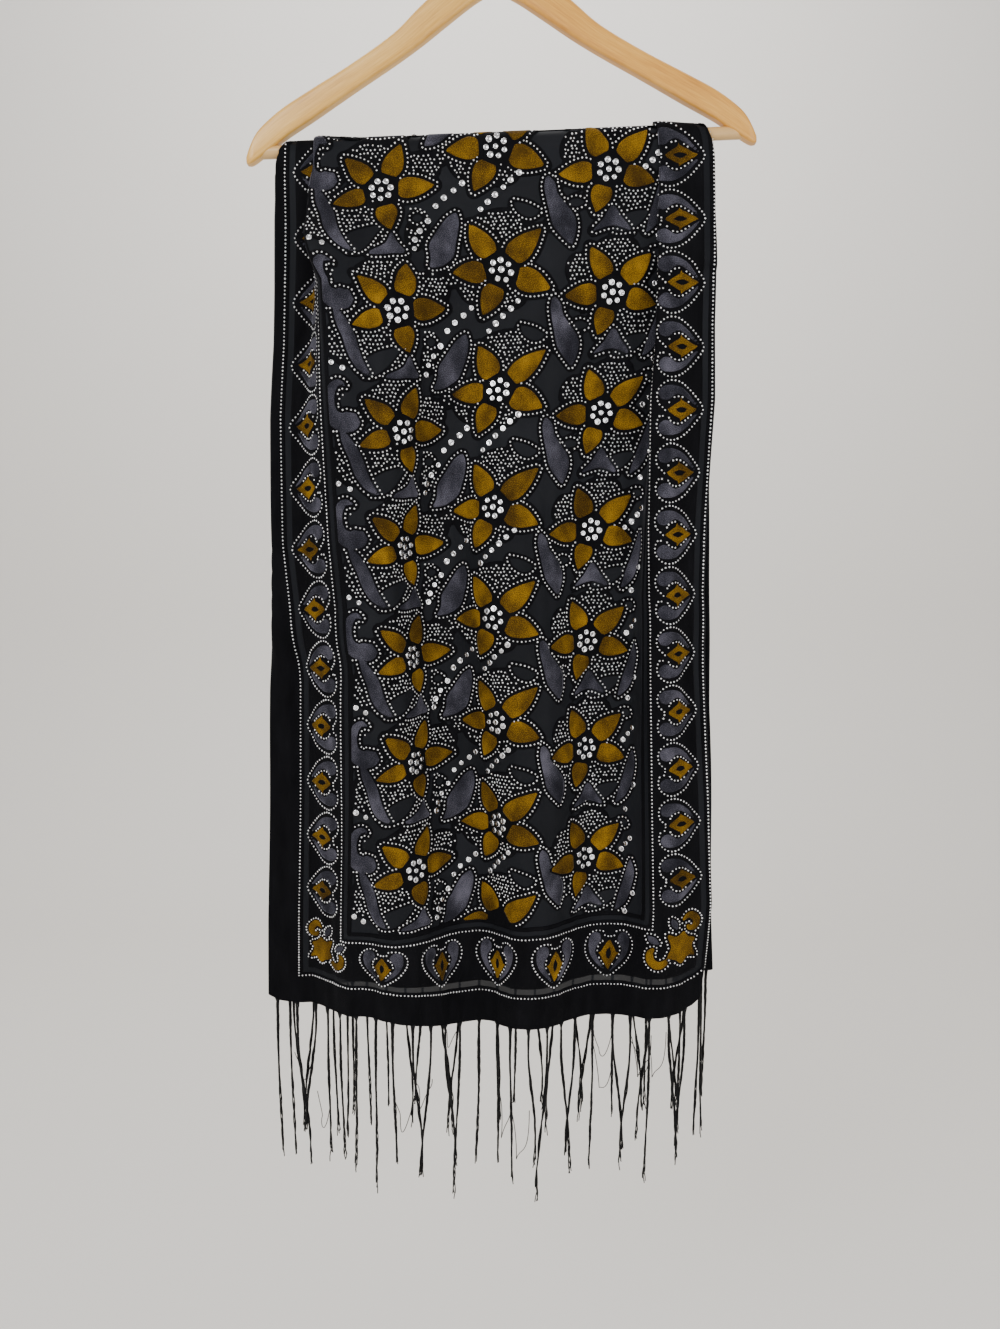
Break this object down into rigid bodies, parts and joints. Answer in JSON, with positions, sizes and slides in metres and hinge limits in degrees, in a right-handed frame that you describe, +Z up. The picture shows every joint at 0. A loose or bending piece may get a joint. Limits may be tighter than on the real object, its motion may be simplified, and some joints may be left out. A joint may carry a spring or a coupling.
{
  "type": "evening stole on a wooden hanger",
  "caption": "Long fringed evening stole of patterned velvet, folded once over the trouser bar of a wooden clothes hanger with a wire hook.",
  "frame": {"origin": "inner crown of the hanger's hook, where the rail carries it", "axes": "+Z up, the front of the stole faces -Y, +X to the right as the viewer sees the front"},
  "size_m": [0.4443, 0.0866, 1.213],
  "materials": {
    "velvet": "matte velvet pile on a sheer ground",
    "fringe_thread": "satin twisted thread",
    "pale_wood": "satin lacquer",
    "warm_wood": "satin lacquer",
    "dowel_wood": "satin lacquer",
    "hook_metal": "polished"
  },
  "bodies": {
    "root": {"stole_front": "velvet", "stole_back": "velvet", "fringe_front": "fringe_thread", "fringe_back": "fringe_thread", "arm_left": "pale_wood", "arm_right": "warm_wood", "bar": "dowel_wood", "hook": "hook_metal"}
  },
  "joints": []
}
